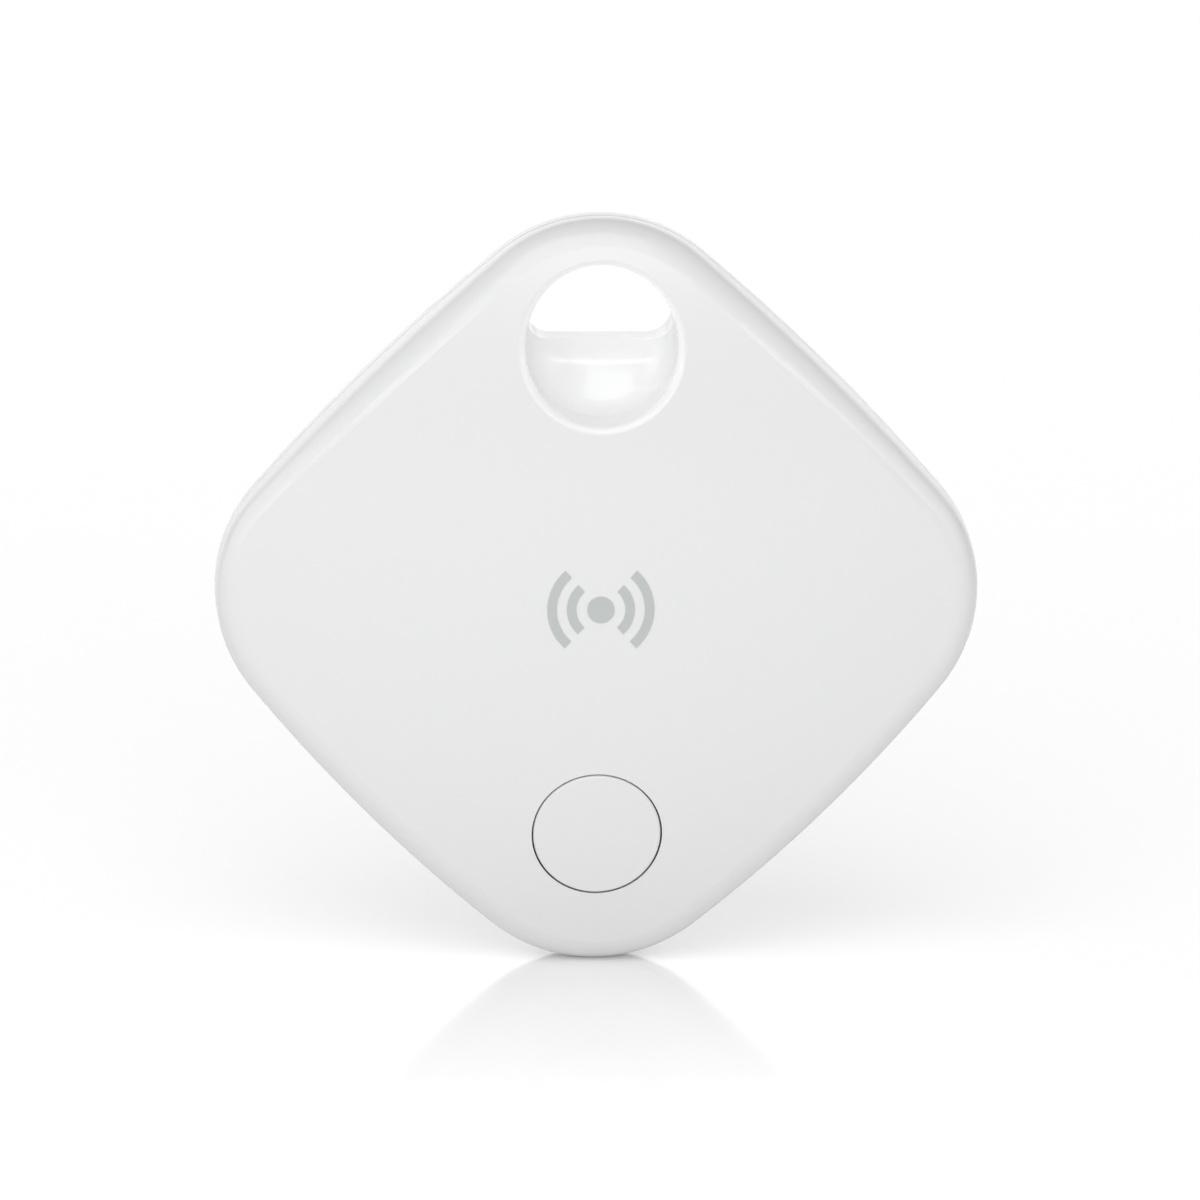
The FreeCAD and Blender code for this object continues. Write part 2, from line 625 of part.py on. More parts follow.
def make_screws():
    """Four self-tapping screws with crossed heads hold the tray and the board to the front cover."""
    head_back = f"({BOARD_BACK} - Sizes.ear_thick - Sizes.head_thick)"
    screws = []
    for index, place in enumerate(SCREWS):
        where = screw_place(*place)
        head = disc(f"screw_head_{index}", "Sizes.screw_head", head_back, "Sizes.head_thick", **where)
        shaft = disc(f"screw_shaft_{index}", "Sizes.screw_radius", f"{BOARD_BACK} - Sizes.ear_thick",
                     "Sizes.screw_depth", **where)
        cross = [block(f"screw_cross_{index}_{turn}", "1.5", "0.3", f"{head_back} - 0.5", "0.85",
                       turn=20 * index + turn, **where) for turn in (0, 90)]
        solid = boolean("MultiFuse", f"screw_solid_{index}", head, shaft)
        recess = boolean("MultiFuse", f"screw_recess_{index}", *cross)
        screws.append(boolean("Cut", f"screw_{index}", solid, recess))
    as_node(group("board_screws", screws), "board_screws")


def chip(name, width, height, thick, across, up, turn=0.0):
    """A component on the board's back side."""
    return block(name, str(width), str(height), f"{BOARD_BACK} - {thick}", str(thick), across=str(across),
                 up=around(str(up)), turn=turn)


def chips_on_arc(name, angles, thick):
    """Small components side by side round the coin cell; angles are in degrees from +X."""
    radius, length, width = 13.7, 1.0, 0.5
    made = []
    for index, angle in enumerate(angles):
        across = radius * math.cos(math.radians(angle))
        up = f"({radius * math.sin(math.radians(angle)):.4f} - Sizes.cell_drop)"
        made.append(chip(f"{name}_{index}", length, width, thick, f"{across:.4f}", up, turn=angle))
    return group(name, made)


def make_components():
    as_node(chip("bluetooth_chip", 5, 5, 0.85, -15.0, -0.2), "bluetooth_chip")
    as_node(chip("main_crystal", 2.5, 2.0, 0.6, -14.2, 4.4), "main_crystal")
    as_node(chip("clock_crystal", 3.2, 1.5, 0.75, -13.7, -4.5), "clock_crystal")
    as_node(chip("chip_antenna", 1.6, 3.2, 1.0, 16.8, 0.0), "chip_antenna")
    as_node(chips_on_arc("capacitors", (143.5, 147.5, 151.5, 29, 33, 37, 206, 210), 0.5), "capacitors")
    as_node(chips_on_arc("resistors", (327, 331, 335, 243, 247, 293, 297), 0.35), "resistors")
    coil = chip("buzzer_coil", 3, 3, 1.2, 13.9, 3.9)
    bead = chip("antenna_coil", 1.0, 0.5, 0.5, 14.7, -0.9)
    bead_below = chip("antenna_coil_below", 1.0, 0.5, 0.5, 14.7, 0.9)
    as_node(group("inductors", (coil, bead, bead_below)), "inductors")
    body = chip("transistor_body", 2.9, 1.3, 0.95, 13.7, -4.2)
    legs = [chip(f"transistor_leg_{index}", 0.4, 0.6, 0.12, across, up)
            for index, (across, up) in enumerate(((12.75, -5.1), (14.65, -5.1), (13.7, -3.3)))]
    as_node(boolean("MultiFuse", "buzzer_transistor", body, *legs), "buzzer_transistor")
    pads = [disc(f"test_pad_{index}", "0.55", f"{BOARD_BACK} - 0.04", "0.04", across=str(across),
                 up=around("-17.4")) for index, across in enumerate((-3.6, -1.8, 0, 1.8, 3.6))]
    as_node(group("test_pads", pads), "test_pads")


# ---- battery -----------------------------------------------------------------------------------


def make_tray():
    """A cup for the coin cell with four ears under the screws, cut away for the scoop and the contacts."""
    inner = "(Sizes.cell_radius + Sizes.tray_play)"
    outer = f"({inner} + Sizes.tray_wall)"
    floor = disc("tray_floor_disc", outer, "Sizes.tray_ahead", "Sizes.tray_floor", up=CELL_UP)
    wall = disc("tray_wall_ring", outer, "0", "Sizes.tray_ahead + 0.1", up=CELL_UP, bore=inner)
    ears = []
    for index, place in enumerate(SCREWS):
        where = screw_place(*place)
        tip = disc(f"tray_ear_{index}", "1.7", f"{BOARD_BACK} - Sizes.ear_thick", "Sizes.ear_thick", **where)
        across = place[0] * size("screw_offset")
        up = place[1] * size("screw_offset") + size("cell_drop")
        angle = math.degrees(math.atan2(up, across))
        reach = math.hypot(across, up)
        start = number(inner) + 0.2
        middle = (start + reach) / 2
        bridge = block(f"tray_bridge_{index}", f"{reach - start:.4f}", "2.4",
                       f"{BOARD_BACK} - Sizes.ear_thick", "Sizes.ear_thick",
                       across=f"{middle * math.cos(math.radians(angle)):.4f}",
                       up=around(f"({middle * math.sin(math.radians(angle)):.4f} - Sizes.cell_drop)"),
                       turn=angle)
        ears += [tip, bridge]
    solid = boolean("MultiFuse", "tray_solid", floor, wall, *ears)
    relief = scoop("tray_relief", "(Sizes.dish_wall + 0.15)")
    top_gap = block("tray_top_gap", "9", "4", "-1", "6", up=f"{CELL_UP} + Sizes.cell_radius + 1.6")
    side_gap = block("tray_side_gap", "3", "3.6", "-1", "3.3", across=outer, up=CELL_UP)
    leaf_gap = block("tray_leaf_gap", "3", "2.6", "-1", "Sizes.tray_ahead + 1", across=f"-{outer}",
                     up=CELL_UP)
    holes = screw_passages("tray")
    openings = boolean("MultiFuse", "tray_openings", relief, top_gap, side_gap, leaf_gap, *holes)
    as_node(boolean("Cut", "battery_tray", solid, openings), "battery_tray")


def make_contacts():
    """A leaf under the cell's negative side and a clip against its positive rim."""
    sheet_metal = "Sizes.contact_sheet"
    leaf_ahead = f"Sizes.tray_ahead - {sheet_metal}"
    strip = block("leaf_strip", "11.8", "2", leaf_ahead, sheet_metal, across="-5.9", up=CELL_UP)
    pad_disc = disc("leaf_disc", "2.4", leaf_ahead, sheet_metal, up=CELL_UP)
    dimple = disc("leaf_dimple", "0.8", f"{leaf_ahead} - 0.05", "0.1", up=CELL_UP)
    step = block("leaf_step", sheet_metal, "2", BOARD_FACE, f"Sizes.tray_ahead - {BOARD_FACE}",
                 across=f"{sheet_metal} / 2 - 11.8", up=CELL_UP)
    tail = block("leaf_tail", "1.6", "2", BOARD_FACE, sheet_metal, across="-12.4", up=CELL_UP)
    leaf = boolean("MultiFuse", "negative_contact", strip, pad_disc, dimple, step, tail)
    as_node(leaf, "negative_contact")

    rim = "(Sizes.cell_radius + 0.02)"
    tab = block("clip_tab", sheet_metal, "3", "-0.4", f"{BOARD_BACK} + 0.4",
                across=f"{rim} + {sheet_metal} / 2", up=CELL_UP)
    foot = block("clip_foot", "2.9", "3", f"{BOARD_BACK} - {sheet_metal}", sheet_metal,
                 across=f"{rim} + 2.9 / 2", up=CELL_UP)
    as_node(boolean("MultiFuse", "positive_contact", tab, foot), "positive_contact")


def make_cell():
    """The coin cell: steel can over a steel cap, a nylon gasket between, and the pellets inside."""
    front = "(Sizes.cell_thick - Sizes.cell_back)"
    can_length = "(Sizes.cell_thick - 0.3)"
    back = "-Sizes.cell_back"
    shell = disc("can_blank", "Sizes.cell_radius", back, can_length, up=CELL_UP)
    inner = disc("can_hollow", "Sizes.cell_radius - Sizes.can_sheet", f"{back} + Sizes.can_sheet", "5",
                 up=CELL_UP)
    lip = disc("can_lip", "Sizes.cell_radius - 0.05", f"{back} + {can_length} - 0.2", "0.2", up=CELL_UP,
               bore="Sizes.cell_radius - 0.7")
    cup = boolean("MultiFuse", "can_cup", boolean("Cut", "can_open", shell, inner), lip)

    def corner(edge):
        return abs(radius_of(edge) - size("cell_radius")) < 1e-3 and \
            abs(edge.CenterOfMass.y - size("cell_back")) < 1e-3

    as_node(round_edges("cell_can", cup, "can_round", corner), "cell_can")

    cap_radius = "(Sizes.cell_radius - 1.2)"
    cap_disc = disc("cap_disc", cap_radius, f"{front} - 1.2", "1.2", up=CELL_UP)
    hollow = disc("cap_hollow", f"{cap_radius} - 0.25", f"{front} - 2", "1.75", up=CELL_UP)
    as_node(boolean("Cut", "cell_cap", cap_disc, hollow), "cell_cap")
    as_node(disc("cell_gasket", "Sizes.cell_radius - 0.7", f"{front} - 1.3", "1.15", up=CELL_UP,
                 bore=cap_radius), "cell_gasket")
    pellet = "Sizes.cell_radius - 1.5"
    as_node(disc("cell_cathode", pellet, f"{back} + Sizes.can_sheet", "1.35", up=CELL_UP), "cell_cathode")
    as_node(disc("cell_separator", pellet, f"{back} + Sizes.can_sheet + 1.35", "0.15", up=CELL_UP),
            "cell_separator")
    as_node(disc("cell_anode", pellet, f"{back} + Sizes.can_sheet + 1.5", "1.2", up=CELL_UP), "cell_anode")


# ---- sounder -----------------------------------------------------------------------------------

MIDDLE_UP = "-Sizes.centre_drop"
WIRE_RADIUS = 0.2
WIRE_LEAN = math.radians(33)   # the wires run down and outwards
WIRE_KNEE = 12.5               # where they bend back to the board, out from the sounder's middle
WIRE_END = 14.6                # where they meet the board


def make_sounder():
    as_node(disc("piezo_brass_disc", "Sizes.piezo_radius", "Sizes.piezo_ahead", "Sizes.piezo_sheet",
                 up=MIDDLE_UP), "piezo_brass_disc")
    as_node(disc("piezo_ceramic", "Sizes.piezo_radius - 1.9", "Sizes.piezo_ahead - Sizes.piezo_sheet",
                 "Sizes.piezo_sheet", up=MIDDLE_UP), "piezo_ceramic")
    as_node(disc("piezo_adhesive", "Sizes.piezo_radius", "Sizes.piezo_ahead + Sizes.piezo_sheet",
                 "Sizes.glue", up=MIDDLE_UP, bore="Sizes.piezo_radius - Sizes.glue_width"), "piezo_adhesive")


def make_wire(name, start, knee, end):
    """A wire of two runs joined by one tangent arc."""
    start, knee, end = (FreeCAD.Vector(*point) for point in (start, knee, end))
    before, after = (start - knee).normalize(), (end - knee).normalize()
    half = before.getAngle(after) / 2
    setback = 0.45 * min((start - knee).Length, (end - knee).Length)
    bend_radius = setback * math.tan(half)
    centre = knee + (before + after).normalize() * (bend_radius / math.sin(half))
    near, far = knee + before * setback, knee + after * setback
    middle = centre + (knee - centre).normalize() * bend_radius
    path = Part.Wire([Part.makeLine(start, near), Part.Arc(near, middle, far).toShape(),
                      Part.makeLine(far, end)])
    section = Part.Wire(Part.makeCircle(WIRE_RADIUS, start, knee - start))
    item = doc.addObject("Part::Feature", name)
    item.Shape = path.makePipeShell([section], True, False)
    item.Placement = FreeCAD.Placement(FreeCAD.Vector(0, 0, -size("centre_drop")), FreeCAD.Rotation())
    return as_node(item, name)


def make_wires():
    """Two wires from the sounder, under the tray's floor, to the face side of the board."""
    run_ahead = size("tray_ahead") + size("tray_floor") + 0.08 + WIRE_RADIUS
    board_ahead = number(BOARD_FACE) + WIRE_RADIUS + 0.05
    brass_back = size("piezo_ahead")
    ceramic_back = brass_back - size("piezo_sheet")
    joints = []
    wires = (("red", -1, 4.0, ceramic_back), ("black", 1, 6.6, brass_back))
    for name, side, start_out, sounder_back in wires:
        way = FreeCAD.Vector(side * math.sin(WIRE_LEAN), 0, -math.cos(WIRE_LEAN))
        run = FreeCAD.Vector(0, -run_ahead, 0)
        start = way * start_out + run
        end = way * WIRE_END + FreeCAD.Vector(0, -board_ahead, 0)
        make_wire(f"piezo_wire_{name}", start, way * WIRE_KNEE + run, end)
        first = run_ahead - WIRE_RADIUS
        joints.append(disc(f"solder_sounder_{name}", "0.55", f"{first}", f"{sounder_back - first}",
                           across=f"{start.x}", up=around(f"({start.z})")))
        joints.append(disc(f"solder_board_{name}", "0.6", BOARD_FACE, "0.55", across=f"{end.x}",
                           up=around(f"({end.z})")))
    as_node(group("solder_joints", joints), "solder_joints")


def make_mark():
    """A printed generic signal sign on the middle of the face: a dot between two pairs of arcs."""
    under = "Sizes.face_ahead - 1"
    rings = []
    for index in range(2):
        outside = f"Sizes.mark_radius - {index} * Sizes.mark_step"
        rings.append(disc(f"mark_ring_{index}", outside, under, "3", up=MIDDLE_UP,
                          bore=f"{outside} - Sizes.mark_stroke"))
    sectors = []
    for index, facing in enumerate((0, 180)):
        sector = doc.addObject("Part::Cylinder", f"mark_sector_{index}")
        bind(sector, Radius="2 * Sizes.mark_radius", Angle="Sizes.mark_spread", Placement__Base__z=MIDDLE_UP)
        sector.Height = FAR
        sector.Placement.Rotation = FreeCAD.Rotation(0, 0, 90).multiply(
            FreeCAD.Rotation(UP, facing - size("mark_spread") / 2))
        sectors.append(sector)
    arcs = boolean("Common", "mark_arcs", boolean("MultiFuse", "mark_rings", *rings),
                   boolean("MultiFuse", "mark_sectors", *sectors))
    dot = disc("mark_middle", "Sizes.mark_dot", under, "3", up=MIDDLE_UP)
    layer = boolean("Cut", "ink_layer", dome_ball("ink_top", "(-Sizes.ink)"), dome_ball("ink_under", "0"))
    sign = boolean("MultiFuse", "mark_prism", arcs, dot)
    as_node(boolean("Common", "face_mark", sign, layer), "face_mark")


# ---- the whole tag -----------------------------------------------------------------------------

envelope = make_envelope()
make_front_cover(envelope)
make_back_cover(envelope)
make_button_cap()
make_switch()
make_board()
make_screws()
make_components()
make_tray()
make_contacts()
make_cell()
make_sounder()
make_wires()
make_mark()
doc.recompute()

failed = [item.Name for item in doc.Objects if {"Invalid", "Error"} & set(item.State)]
if failed:
    raise RuntimeError(f"objects failed: {failed}")
for item in nodes:
    if item.Shape.isNull() or not item.Shape.isValid() or not item.Shape.Solids:
        raise RuntimeError(f"{item.Label} has no valid solid")
    print(f"{item.Label}: {len(item.Shape.Solids)} solid(s), {item.Shape.Volume:.3f} mm3")

os.makedirs("parts", exist_ok=True)
for item in nodes:
    item.Shape.exportStep(f"parts/{item.Label}.step")
print(f"{len(nodes)} nodes written")
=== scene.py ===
import json
import math

import bmesh
import bpy
from mathutils import Matrix, Vector

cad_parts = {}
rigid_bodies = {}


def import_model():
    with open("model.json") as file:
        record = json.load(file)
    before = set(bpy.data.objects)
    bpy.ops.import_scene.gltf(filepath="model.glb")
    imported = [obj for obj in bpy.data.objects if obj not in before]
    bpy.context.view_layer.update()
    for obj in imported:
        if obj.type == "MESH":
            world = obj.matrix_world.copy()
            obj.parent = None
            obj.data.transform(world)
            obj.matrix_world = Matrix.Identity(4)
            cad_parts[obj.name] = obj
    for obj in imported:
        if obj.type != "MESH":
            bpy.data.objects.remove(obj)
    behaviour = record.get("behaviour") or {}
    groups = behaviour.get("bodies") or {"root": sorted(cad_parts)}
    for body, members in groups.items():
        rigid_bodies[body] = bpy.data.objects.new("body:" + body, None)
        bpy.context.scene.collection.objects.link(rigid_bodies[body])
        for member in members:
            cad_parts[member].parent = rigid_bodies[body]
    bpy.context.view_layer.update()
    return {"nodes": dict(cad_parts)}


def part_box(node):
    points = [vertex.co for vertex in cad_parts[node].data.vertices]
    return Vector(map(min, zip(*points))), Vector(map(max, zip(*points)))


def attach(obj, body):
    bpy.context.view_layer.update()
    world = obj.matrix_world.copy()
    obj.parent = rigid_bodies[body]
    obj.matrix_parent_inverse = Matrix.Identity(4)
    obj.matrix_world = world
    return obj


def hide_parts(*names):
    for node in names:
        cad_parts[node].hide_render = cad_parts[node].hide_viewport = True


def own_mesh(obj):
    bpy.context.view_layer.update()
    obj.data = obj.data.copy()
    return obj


for leftover in list(bpy.data.objects):
    bpy.data.objects.remove(leftover)
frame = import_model()

# A white tracker tag standing on its lower corner: +Z is up and the domed face looks towards -Y.
# Lengths are metres, in the frame's own axes.
MM = 0.001
NODES = frame["nodes"]


# ---- places worked out from the frame ----------------------------------------------------------


def middle_of(*nodes):
    """The middle of the box round some nodes."""
    lows = [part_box(node)[0] for node in nodes]
    highs = [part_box(node)[1] for node in nodes]
    low = Vector([min(low[axis] for low in lows) for axis in range(3)])
    high = Vector([max(high[axis] for high in highs) for axis in range(3)])
    return (low + high) / 2


CASE_MIDDLE = middle_of("front_cover", "back_cover")
CASE_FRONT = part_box("front_cover")[0].y
CASE_BOTTOM = min(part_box("front_cover")[0].z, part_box("back_cover")[0].z)
CASE_EDGE_MIDDLE = -0.195 * MM     # middle of the case's edge, front to back
DISH_AXIS_UP = -0.36 * MM          # axis of the scooped recess below the slot
DISH_RADIUS = 4.5 * MM


# ---- materials ---------------------------------------------------------------------------------


class Look:
    """A principled material that is put together from procedural nodes."""

    def __init__(self, name, color, roughness, metallic=0.0):
        self.material = bpy.data.materials.new(name)
        self.material.use_nodes = True
        self.tree = self.material.node_tree
        self.shader = self.tree.nodes["Principled BSDF"]
        self.place = self.tree.nodes.new("ShaderNodeTexCoord").outputs["Object"]
        self.color = color
        self.shader.inputs["Base Color"].default_value = (*color, 1)
        self.shader.inputs["Roughness"].default_value = roughness
        self.shader.inputs["Metallic"].default_value = metallic
        self.material.diffuse_color = (*color, 1)

    def new(self, kind, **inputs):
        node = self.tree.nodes.new("ShaderNode" + kind)
        for name, value in inputs.items():
            self.feed(node.inputs[name.replace("_", " ")], value)
        return node

    def feed(self, socket, value):
        """Links another node's output to a socket, or sets a plain value on it."""
        if isinstance(value, bpy.types.NodeSocket):
            self.tree.links.new(value, socket)
        else:
            socket.default_value = value

    def noise(self, size, detail=2.0, place=None):
        """Noise whose blotches are about that many metres across."""
        node = self.new("TexNoise", Vector=place or self.place, Scale=1 / size, Detail=detail)
        return node.outputs["Fac"]

    def remap(self, value, low, high, from_low=0.35, from_high=0.65):
        """Value, held between the two from-limits, stretched to run from low to high."""
        node = self.new("MapRange", Value=value)
        limits = {"From Min": from_low, "From Max": from_high, "To Min": low, "To Max": high}
        for name, number in limits.items():
            node.inputs[name].default_value = number
        return node.outputs["Result"]

    def math(self, operation, first, second=0.0):
        node = self.new("Math")
        node.operation = operation
        self.feed(node.inputs[0], first)
        self.feed(node.inputs[1], second)
        return node.outputs[0]

    def tint(self, value, other):
        """Colour runs from the look's own to the other one as value goes from 0 to 1."""
        node = self.new("Mix")
        node.data_type = "RGBA"
        self.feed(node.inputs[0], value)
        node.inputs[6].default_value = (*self.color, 1)
        node.inputs[7].default_value = (*other, 1)
        self.feed(self.shader.inputs["Base Color"], node.outputs[2])

    def rough(self, value):
        self.feed(self.shader.inputs["Roughness"], value)

    def bump(self, height, depth):
        """Relief that is depth metres deep."""
        node = self.new("Bump", Height=height, Strength=1.0, Distance=depth)
        self.feed(self.shader.inputs["Normal"], node.outputs["Normal"])


def shade(color, factor):
    return tuple(channel * factor for channel in color)


def moulded_plastic(name, color, roughness=0.4, grain=0.09 * MM, depth=0.002 * MM):
    """Moulded plastic: a fine eroded grain, faint flow marks in the gloss and a hint of mottling."""
    look = Look(name, color, roughness)
    look.tint(look.remap(look.noise(7 * MM, 2), 0, 1), shade(color, 0.985))
    look.rough(look.remap(look.noise(2.5 * MM, 3), roughness - 0.03, roughness + 0.03))
    look.bump(look.noise(grain, 3), depth)
    return look


def worked_metal(name, color, roughness, direction):
    """Rolled or brushed metal: fine streaks along one axis, in the gloss and in the surface."""
    look = Look(name, color, roughness, 1.0)
    stretch = look.new("Mapping", Vector=look.place)
    stretch.inputs["Scale"].default_value = [0.04 if axis == direction else 1.0 for axis in "XYZ"]
    streaks = look.noise(0.06 * MM, 3, stretch.outputs["Vector"])
    look.rough(look.remap(streaks, roughness - 0.06, roughness + 0.08))
    look.tint(look.remap(look.noise(2.0 * MM, 3), 0, 1), shade(color, 0.9))
    look.bump(streaks, 0.001 * MM)
    return look


def cast_metal(name, color, roughness, grain):
    """Plated or once molten metal: a soft dimpled surface with duller patches."""
    look = Look(name, color, roughness, 1.0)
    look.rough(look.remap(look.noise(3 * grain, 3), roughness - 0.05, roughness + 0.12))
    look.tint(look.remap(look.noise(5 * grain, 2), 0, 1), shade(color, 0.86))
    look.bump(look.noise(grain, 2), 0.006 * MM)
    return look


def laminate(name, color, over_copper):
    """Solder mask over glass-fibre laminate: lighter over copper, and slightly uneven under its gloss."""
    look = Look(name, color, 0.3)
    look.tint(look.remap(look.noise(4 * MM, 4), 0, 0.35), over_copper)
    look.rough(look.remap(look.noise(1.2 * MM, 3), 0.24, 0.36))
    look.bump(look.noise(0.35 * MM, 1), 0.003 * MM)
    return look


def fired_ceramic(name, color, roughness):
    """Fired ceramic: fine pits and a slightly cloudy body."""
    look = Look(name, color, roughness)
    look.tint(look.remap(look.noise(0.5 * MM, 4), 0, 1), shade(color, 0.88))
    look.rough(look.remap(look.noise(0.3 * MM, 3), roughness - 0.05, roughness + 0.07))
    look.bump(look.noise(0.05 * MM, 3), 0.003 * MM)
    return look


def pressed_powder(name, color, roughness):
    """Pressed powder or felt: a coarse matt surface with darker specks."""
    look = Look(name, color, roughness)
    look.tint(look.remap(look.noise(0.2 * MM, 5), 0, 1), shade(color, 0.7))
    look.bump(look.noise(0.12 * MM, 4), 0.02 * MM)
    return look


SHELL_COLOR = (0.685, 0.687, 0.688)
SHELL_ROUGHNESS = 0.22
# Painted light: the scoop's colour is lighter than the shell's to stand in for light reaching the recess.
DISH_PAINTED_LIGHT_COLOR = (0.85, 0.852, 0.854)
DISH_ROUGHNESS = 0.16
DISH_RIM = 0.5 * MM                # width over which the scoop's gloss and painted light give way to the shell's satin


def shell_white():
    """The case's white plastic: a satin grain that gives way to a polished scoop, whose colour is painted
    lighter than the shell to stand in for light falling into the recess.
    """
    look = Look("shell_white", DISH_PAINTED_LIGHT_COLOR, DISH_ROUGHNESS)
    parts = look.new("SeparateXYZ", Vector=look.place)
    rise = look.math("SUBTRACT", parts.outputs["Z"], DISH_AXIS_UP)
    across_squared = look.math("MULTIPLY", parts.outputs["X"], parts.outputs["X"])
    rise_squared = look.math("MULTIPLY", rise, rise)
    out = look.math("SQRT", look.math("ADD", across_squared, rise_squared))
    satin = look.remap(out, 0, 1, DISH_RADIUS, DISH_RADIUS + DISH_RIM)
    look.rough(look.remap(satin, DISH_ROUGHNESS, SHELL_ROUGHNESS, 0, 1))
    # Painted light: the scoop is coloured lighter than the shell out to its rim, standing in for light in
    # the recess.
    look.tint(satin, SHELL_COLOR)
    look.bump(look.math("MULTIPLY", look.noise(0.15 * MM, 2), satin), 0.0012 * MM)
    return look


def assign(look, *nodes):
    for node in nodes:
        slots = NODES[node].data.materials
        slots.clear()
        slots.append(look.material)


# ---- pieces too fine for the frame -------------------------------------------------------------


class Piece:
    """A mesh made of many small solids, standing on planes that face along Y."""

    def __init__(self):
        self.mesh = bmesh.new()

    def prism(self, outline, y_from, y_to):
        """A solid with that outline, given as (x, z) points, between two depths."""
        ends = [[self.mesh.verts.new((x, y, z)) for x, z in outline] for y in (y_from, y_to)]
        self.mesh.faces.new(ends[0])
        self.mesh.faces.new(reversed(ends[1]))
        for first in range(len(outline)):
            second = (first + 1) % len(outline)
            self.mesh.faces.new((ends[0][second], ends[0][first], ends[1][first], ends[1][second]))

    def bar(self, x_from, x_to, z_from, z_to, y_from, y_to):
        self.prism(((x_from, z_from), (x_to, z_from), (x_to, z_to), (x_from, z_to)), y_from, y_to)

    def disc(self, x, z, radius, y_from, y_to, sides=20):
        self.prism(circle(x, z, radius, sides), y_from, y_to)

    def ring(self, x, z, inner, outer, y_from, y_to, sides=20):
        """A flat ring made of short arched blocks."""
        hole = circle(x, z, inner, sides)
        rim = circle(x, z, outer, sides)
        for first in range(sides):
            second = (first + 1) % sides
            self.prism((hole[first], rim[first], rim[second], hole[second]), y_from, y_to)

    def ribbon(self, points, width, y_from, y_to):
        """A flat strip with round ends and corners, along (x, z) points."""
        for (x1, z1), (x2, z2) in zip(points, points[1:]):
            length = math.hypot(x2 - x1, z2 - z1)
            across = (z1 - z2) / length * width / 2
            rise = (x2 - x1) / length * width / 2
            self.prism(((x1 + across, z1 + rise), (x1 - across, z1 - rise), (x2 - across, z2 - rise),
                        (x2 + across, z2 + rise)), y_from, y_to)
        for x, z in points:
            self.disc(x, z, width / 2, y_from, y_to, 10)

    def make(self, name, look, body, slot, edge=0.0):
        """The finished object, riding on its body, with its sharp edges eased by that much."""
        bmesh.ops.recalc_face_normals(self.mesh, faces=self.mesh.faces)
        data = bpy.data.meshes.new(name)
        self.mesh.to_mesh(data)
        self.mesh.free()
        data.materials.append(look.material)
        piece = bpy.data.objects.new(name, data)
        bpy.context.scene.collection.objects.link(piece)
        if edge:
            bevel = piece.modifiers.new("eased", "BEVEL")
            bevel.width = edge
            bevel.segments = 2
        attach(piece, body)


def circle(x, z, radius, sides):
    turns = [2 * math.pi * step / sides for step in range(sides)]
    return [(x + radius * math.cos(turn), z + radius * math.sin(turn)) for turn in turns]


def islands(node):
    """The boxes (low, high) round each separate solid of a CAD node."""
    mesh = bmesh.new()
    mesh.from_mesh(NODES[node].data)
    mesh.transform(NODES[node].matrix_world)
    bmesh.ops.remove_doubles(mesh, verts=mesh.verts, dist=0.001 * MM)
    waiting = set(mesh.verts)
    boxes = []
    while waiting:
        group = set()
        border = [waiting.pop()]
        while border:
            vertex = border.pop()
            group.add(vertex)
            near = {link.other_vert(vertex) for link in vertex.link_edges} & waiting
            waiting -= near
            border.extend(near)
        low = Vector([min(vertex.co[axis] for vertex in group) for axis in range(3)])
        high = Vector([max(vertex.co[axis] for vertex in group) for axis in range(3)])
        boxes.append((low, high))
    mesh.free()
    return sorted(boxes, key=lambda box: tuple(box[0]))


TIN_PROUD = 0.02 * MM      # how far a tin cap stands out from its component
TIN_SHARE = 0.22           # part of the component's length under each cap


def add_tinned_ends(node, name):
    """Tin caps on both ends of the box round each small component."""
    piece = Piece()
    for low, high in islands(node):
        across, rise = high.x - low.x, high.z - low.z
        reach = TIN_SHARE * max(across, rise)
        for at_low in (True, False):
            x_from, x_to, z_from, z_to = low.x, high.x, low.z, high.z
            if across > rise:
                x_from, x_to = (x_from, x_from + reach) if at_low else (x_to - reach, x_to)
            else:
                z_from, z_to = (z_from, z_from + reach) if at_low else (z_to - reach, z_to)
            piece.bar(x_from - TIN_PROUD, x_to + TIN_PROUD, z_from - TIN_PROUD, z_to + TIN_PROUD,
                      low.y, high.y + TIN_PROUD)
    piece.make(name, TIN_PLATE, "case", "tin_plate", 0.03 * MM)


BOARD_LIFT = 0.02 * MM     # height of tracks and print over the board
TRACK_WIDTH = 0.16 * MM


def add_board_print():
    """Tracks, vias and white outlines on the back side of the circuit board."""
    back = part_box("circuit_board")[1].y
    low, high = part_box("bluetooth_chip")
    tracks, vias = Piece(), Piece()
    add_chip_tracks(tracks, vias, low, high, back)
    add_pad_tracks(tracks, vias, back)
    tracks.make("board_tracks", SOLDER_MASK, "case", "solder_mask")
    vias.make("board_vias", GOLD_PLATE, "case", "gold_plate")

    outlines = Piece()
    gap, stroke = 0.22 * MM, 0.1 * MM
    for low, high in (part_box("bluetooth_chip"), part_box("clock_crystal"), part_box("main_crystal"),
                      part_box("buzzer_transistor"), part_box("chip_antenna")):
        corners = ((low.x - gap, low.z - gap), (high.x + gap, low.z - gap), (high.x + gap, high.z + gap),
                   (low.x - gap, high.z + gap), (low.x - gap, low.z - gap))
        outlines.ribbon(corners, stroke, back, back + BOARD_LIFT)
    outlines.make("board_outlines", SILKSCREEN, "case", "mark_ink")


